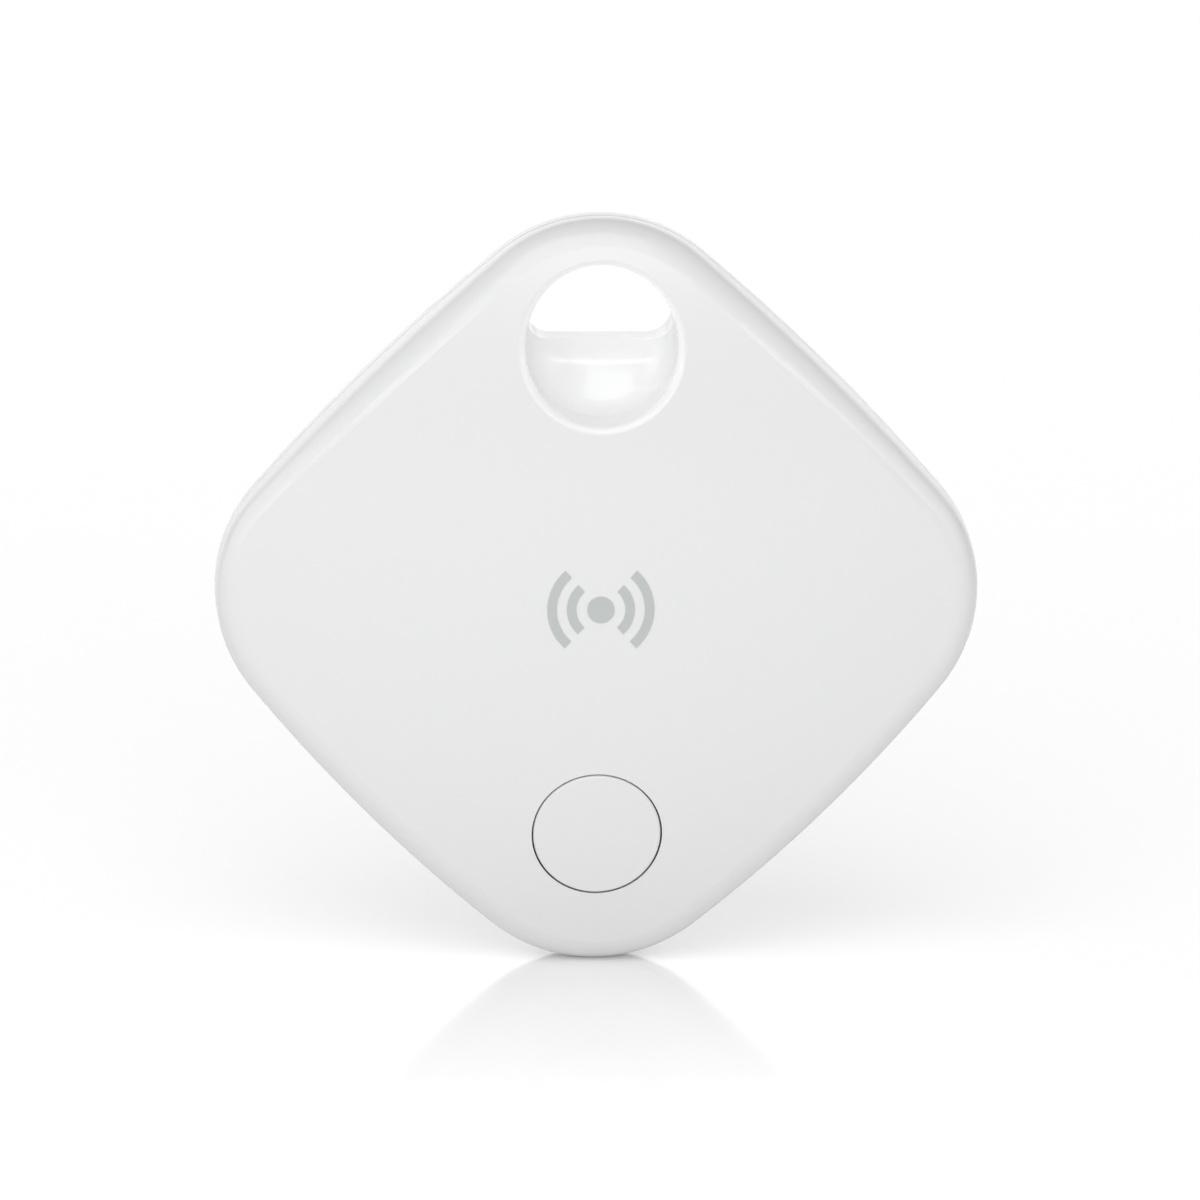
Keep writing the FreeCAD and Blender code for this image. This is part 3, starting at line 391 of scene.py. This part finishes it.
def add_chip_tracks(tracks, vias, low, high, back):
    """Short tracks from the radio chip to a slanted row of vias, and pairs to both crystals."""
    for step in range(6):
        start = low.z + (0.6 + 0.7 * step) * MM
        bend = high.x + (0.35 + 0.12 * step) * MM
        tracks.ribbon(((high.x - 0.2 * MM, start), (bend, start)), TRACK_WIDTH, back, back + BOARD_LIFT)
        vias.ring(bend, start, 0.09 * MM, 0.2 * MM, back, back + 2 * BOARD_LIFT)
    middle = (low.x + high.x) / 2
    clock_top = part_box("clock_crystal")[1].z
    main_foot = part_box("main_crystal")[0].z
    for side in (-0.5, 0.5):
        x = middle + side * MM
        tracks.ribbon(((x, low.z), (x, clock_top)), TRACK_WIDTH, back, back + BOARD_LIFT)
        tracks.ribbon(((x, high.z), (x, main_foot)), TRACK_WIDTH, back, back + BOARD_LIFT)


def add_pad_tracks(tracks, vias, back):
    """Four tracks that fan out above the row of test pads, each to a via."""
    low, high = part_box("test_pads")
    count, fan = 4, 1.3
    for step in range(count):
        x = low.x + (step + 0.5) * (high.x - low.x) / count
        end = (x * fan, high.z + 1.9 * MM)
        tracks.ribbon(((x, high.z), (x, high.z + 1.1 * MM), end), 0.2 * MM, back, back + BOARD_LIFT)
        vias.ring(*end, 0.1 * MM, 0.24 * MM, back, back + 2 * BOARD_LIFT)


def add_chip_details():
    """Side contacts and the corner mark of the radio chip."""
    low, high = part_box("bluetooth_chip")
    contacts = Piece()
    count, reach, half_width = 8, 0.05 * MM, 0.14 * MM
    top = low.y + 0.2 * MM
    for step in range(count):
        x = low.x + (step + 0.5) * (high.x - low.x) / count
        z = low.z + (step + 0.5) * (high.z - low.z) / count
        for side in (low.z, high.z):
            contacts.bar(x - half_width, x + half_width, side - reach, side + reach, low.y, top)
        for side in (low.x, high.x):
            contacts.bar(side - reach, side + reach, z - half_width, z + half_width, low.y, top)
    dot = Piece()
    inset = 0.7 * MM
    dot.ring(low.x + inset, high.z - inset, 0.14 * MM, 0.24 * MM, high.y, high.y + 0.012 * MM)
    contacts.make("chip_contacts", TIN_PLATE, "case", "tin_plate")
    dot.make("chip_corner_mark", SILKSCREEN, "case", "mark_ink")


def add_coil_windings():
    """Rings of copper wire, one inside the other, on top of each inductor."""
    piece = Piece()
    for low, high in islands("inductors"):
        middle = (low + high) / 2
        reach = min(high.x - low.x, high.z - low.z) / 2
        for turn in range(4):
            radius = reach * (0.35 + 0.14 * turn)
            piece.ring(middle.x, middle.z, radius, radius + 0.09 * reach, high.y, high.y + 0.04 * MM, 28)
    piece.make("inductor_windings", COPPER_WIRE, "case", "ferrite")


def add_antenna_track():
    """The bright meander on the antenna's outer face."""
    low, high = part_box("chip_antenna")
    inset, legs = 0.25 * MM, 7
    points = []
    for leg in range(legs):
        z = low.z + inset + leg * (high.z - low.z - 2 * inset) / (legs - 1)
        sides = (low.x + inset, high.x - inset)
        for x in (sides if leg % 2 == 0 else reversed(sides)):
            points.append((x, z))
    piece = Piece()
    piece.ribbon(points, 0.14 * MM, high.y, high.y + 0.015 * MM)
    piece.make("antenna_track", TIN_PLATE, "case", "tin_plate")


def add_cell_sign():
    """A plus sign and two rings standing just proud of the cell's flat side."""
    low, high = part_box("cell_can")
    middle = (low + high) / 2
    radius = (high.x - low.x) / 2
    proud, arm, stroke = 0.025 * MM, 1.6 * MM, 0.5 * MM
    piece = Piece()
    for across, rise in ((arm, 0), (0, arm)):
        ends = ((middle.x - across, middle.z - rise), (middle.x + across, middle.z + rise))
        piece.ribbon(ends, stroke, high.y, high.y + proud)
    for share in (0.55, 0.86):
        inner = share * radius
        piece.ring(middle.x, middle.z, inner, inner + 0.18 * MM, high.y, high.y + proud, 72)
    piece.make("cell_sign", CELL_STEEL, "coin_cell", "cell_steel")


def add_snap_dome():
    """The switch's snap dome, as a copy of its mesh riding on the case in place of the hidden node."""
    node = NODES["switch_dome"]
    piece = bpy.data.objects.new("snap_dome", node.data.copy())
    piece.matrix_world = node.matrix_world.copy()
    bpy.context.scene.collection.objects.link(piece)
    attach(piece, "case")
    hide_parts("switch_dome")
    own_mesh(piece)


# ---- floor, light and camera -------------------------------------------------------------------


FLOOR_REACH = 5.0
FLOOR_FADE = 26 * MM               # the floor loses its gloss this far in front of the case
FLOOR_GLOSS = 0.34
FLOOR_GLOW_FRONT = 0.27            # the glow makes up for the gloss that the front lacks
FLOOR_GLOW_BACK = 0.075


def make_floor():
    """A pale floor that mirrors the tag's foot and then fades to plain white in front."""
    mesh = bpy.data.meshes.new("studio_floor")
    corners = ((-1, -1), (1, -1), (1, 1), (-1, 1))
    mesh.from_pydata([(FLOOR_REACH * x, FLOOR_REACH * y, CASE_BOTTOM) for x, y in corners], [],
                     [(0, 1, 2, 3)])
    floor = bpy.data.objects.new("studio_floor", mesh)
    bpy.context.scene.collection.objects.link(floor)
    look = Look("floor_white", (0.85, 0.85, 0.85), 0.12)
    depth = look.new("SeparateXYZ", Vector=look.place).outputs["Y"]
    fade = (CASE_FRONT - FLOOR_FADE, CASE_FRONT)
    look.feed(look.shader.inputs["Specular IOR Level"], look.remap(depth, 0, FLOOR_GLOSS, *fade))
    look.shader.inputs["Emission Color"].default_value = (1, 1, 1, 1)
    glow = look.remap(depth, FLOOR_GLOW_FRONT, FLOOR_GLOW_BACK, *fade)
    look.feed(look.shader.inputs["Emission Strength"], glow)
    mesh.materials.append(look.material)


def make_area_light(name, azimuth, elevation, distance, width, height, radiance):
    """A rectangular soft light aimed at the case; azimuth 0 is in front of the face, +90 to its right."""
    azimuth, elevation = math.radians(azimuth), math.radians(elevation)
    away = Vector((math.sin(azimuth) * math.cos(elevation), -math.cos(azimuth) * math.cos(elevation),
                   math.sin(elevation)))
    data = bpy.data.lights.new(name, "AREA")
    data.shape = "RECTANGLE"
    data.size = width
    data.size_y = height
    data.energy = radiance * math.pi * width * height
    light = bpy.data.objects.new(name, data)
    light.location = CASE_MIDDLE + away * distance
    light.rotation_euler = away.to_track_quat("Z", "Y").to_euler()
    bpy.context.scene.collection.objects.link(light)


# Each light's azimuth and elevation in degrees, then its distance, width and height in metres and its
# radiance. The thin strip draws the bright line in the scoop, and the back light is what the floor mirrors.
LIGHTS = (
    ("top_light", -12, 51, 2.0, 1.9, 1.7, 1.7),
    ("strip_light", 0, 22, 1.6, 6.0, 0.02, 34.0),
    ("front_light", -5, 8, 3.0, 6.0, 1.6, 0.28),
    ("left_light", -85, 14, 4.0, 4.0, 2.4, 1.3),
    ("right_light", 80, 12, 4.0, 3.0, 2.0, 1.1),
    ("back_light", 180, 16, 4.0, 8.0, 2.2, 1.2),
)
WORLD_STRENGTH = 0.375


def make_lights():
    world = bpy.context.scene.world or bpy.data.worlds.new("studio")
    bpy.context.scene.world = world
    world.use_nodes = True
    background = world.node_tree.nodes["Background"]
    background.inputs["Color"].default_value = (1, 1, 1, 1)
    background.inputs["Strength"].default_value = WORLD_STRENGTH
    for light in LIGHTS:
        make_area_light(*light)


CAMERA_AZIMUTH = math.radians(-3.01)
CAMERA_ELEVATION = math.radians(14.69)
CAMERA_ROLL = math.radians(0.69)
CAMERA_DISTANCE = 1.362
FRAME_WIDTH = 70.78 * MM       # width of the picture at the case
CENTRE_RIGHT = 0.214 * MM      # the picture's centre from the case's middle
CENTRE_UP = -0.804 * MM
SENSOR = 36.0


def make_camera():
    back = Vector((math.sin(CAMERA_AZIMUTH) * math.cos(CAMERA_ELEVATION),
                   -math.cos(CAMERA_AZIMUTH) * math.cos(CAMERA_ELEVATION), math.sin(CAMERA_ELEVATION)))
    level = Vector((math.cos(CAMERA_AZIMUTH), math.sin(CAMERA_AZIMUTH), 0))
    upright = back.cross(level)
    right = level * math.cos(CAMERA_ROLL) + upright * math.sin(CAMERA_ROLL)
    up = back.cross(right)
    seen_middle = Vector((0, CASE_EDGE_MIDDLE, CASE_MIDDLE.z))
    place = seen_middle + back * CAMERA_DISTANCE + right * CENTRE_RIGHT + up * CENTRE_UP
    data = bpy.data.cameras.new("photo_camera")
    data.sensor_width = SENSOR
    data.lens = SENSOR * CAMERA_DISTANCE / FRAME_WIDTH
    data.clip_start = 0.01
    data.clip_end = 20
    camera = bpy.data.objects.new("photo_camera", data)
    camera.matrix_world = Matrix((
        (right.x, up.x, back.x, place.x),
        (right.y, up.y, back.y, place.y),
        (right.z, up.z, back.z, place.z),
        (0, 0, 0, 1)))
    bpy.context.scene.collection.objects.link(camera)
    bpy.context.scene.camera = camera


make_floor()
make_lights()
make_camera()
bpy.context.scene.view_settings.view_transform = "Standard"

SHELL_WHITE = shell_white()
INK = moulded_plastic("mark_ink", (0.445, 0.468, 0.462), 0.5)
BLACK_RESIN = moulded_plastic("black_resin", (0.026, 0.026, 0.028), 0.45, 0.06 * MM, 0.004 * MM)
TRAY_PLASTIC = moulded_plastic("tray_plastic", (0.045, 0.047, 0.05), 0.5, 0.12 * MM, 0.004 * MM)
NYLON = moulded_plastic("nylon", (0.05, 0.052, 0.06), 0.35)
ADHESIVE = moulded_plastic("adhesive", (0.62, 0.55, 0.35), 0.3, 0.3 * MM, 0.006 * MM)
RED_INSULATION = moulded_plastic("red_insulation", (0.52, 0.02, 0.015), 0.38, 0.2 * MM)
BLACK_INSULATION = moulded_plastic("black_insulation", (0.02, 0.02, 0.022), 0.38, 0.2 * MM)

SPRING_STEEL = worked_metal("spring_steel", (0.60, 0.60, 0.59), 0.26, "X")
CONTACT_PLATE = worked_metal("contact_plate", (0.68, 0.66, 0.60), 0.24, "Z")
CELL_STEEL = worked_metal("cell_steel", (0.62, 0.62, 0.62), 0.22, "X")
NICKEL_LID = worked_metal("nickel_lid", (0.66, 0.63, 0.57), 0.28, "Z")
SCREW_STEEL = worked_metal("screw_steel", (0.48, 0.48, 0.50), 0.3, "X")
BRASS_SHEET = worked_metal("brass_sheet", (0.72, 0.52, 0.22), 0.25, "X")
TIN_PLATE = cast_metal("tin_plate", (0.74, 0.74, 0.73), 0.25, 0.25 * MM)
SOLDER = cast_metal("solder", (0.66, 0.66, 0.67), 0.2, 0.35 * MM)
GOLD_PLATE = cast_metal("gold_plate", (0.80, 0.58, 0.22), 0.22, 0.2 * MM)
LITHIUM = cast_metal("lithium", (0.55, 0.56, 0.58), 0.42, 0.6 * MM)
PIEZO_SILVER = cast_metal("piezo_silver", (0.72, 0.72, 0.70), 0.45, 0.1 * MM)
COPPER_WIRE = worked_metal("copper_wire", (0.68, 0.32, 0.14), 0.28, "Z")

SOLDER_MASK = laminate("solder_mask", (0.012, 0.11, 0.045), (0.02, 0.17, 0.07))
SILKSCREEN = moulded_plastic("silkscreen", (0.78, 0.79, 0.76), 0.6, 0.1 * MM)
ANTENNA_CERAMIC = fired_ceramic("antenna_ceramic", (0.74, 0.76, 0.76), 0.35)
CAPACITOR_CERAMIC = fired_ceramic("capacitor_ceramic", (0.42, 0.29, 0.17), 0.4)
RESISTOR_BODY = fired_ceramic("resistor_body", (0.03, 0.03, 0.034), 0.22)
FERRITE = fired_ceramic("ferrite", (0.085, 0.085, 0.09), 0.6)
CATHODE_MIX = pressed_powder("cathode_mix", (0.03, 0.03, 0.032), 0.85)
SEPARATOR_FELT = pressed_powder("separator_felt", (0.72, 0.71, 0.66), 0.9)

FINISHES = (
    (SHELL_WHITE, "front_cover", "back_cover", "button_cap"),
    (INK, "face_mark"),
    (BLACK_RESIN, "bluetooth_chip", "buzzer_transistor", "switch_base", "switch_plunger"),
    (TRAY_PLASTIC, "battery_tray"),
    (NYLON, "cell_gasket"),
    (ADHESIVE, "piezo_adhesive"),
    (RED_INSULATION, "piezo_wire_red"),
    (BLACK_INSULATION, "piezo_wire_black"),
    (SPRING_STEEL, "switch_dome", "switch_frame"),
    (CONTACT_PLATE, "negative_contact", "positive_contact"),
    (CELL_STEEL, "cell_can", "cell_cap"),
    (NICKEL_LID, "main_crystal", "clock_crystal"),
    (SCREW_STEEL, "board_screws"),
    (BRASS_SHEET, "piezo_brass_disc"),
    (TIN_PLATE, "switch_terminals"),
    (SOLDER, "solder_joints"),
    (GOLD_PLATE, "test_pads"),
    (LITHIUM, "cell_anode"),
    (PIEZO_SILVER, "piezo_ceramic"),
    (SOLDER_MASK, "circuit_board"),
    (ANTENNA_CERAMIC, "chip_antenna"),
    (CAPACITOR_CERAMIC, "capacitors"),
    (RESISTOR_BODY, "resistors"),
    (FERRITE, "inductors"),
    (CATHODE_MIX, "cell_cathode"),
    (SEPARATOR_FELT, "cell_separator"),
)
for look, *covered in FINISHES:
    assign(look, *covered)

add_tinned_ends("capacitors", "capacitor_ends")
add_tinned_ends("resistors", "resistor_ends")
add_board_print()
add_chip_details()
add_coil_windings()
add_antenna_track()
add_cell_sign()
add_snap_dome()
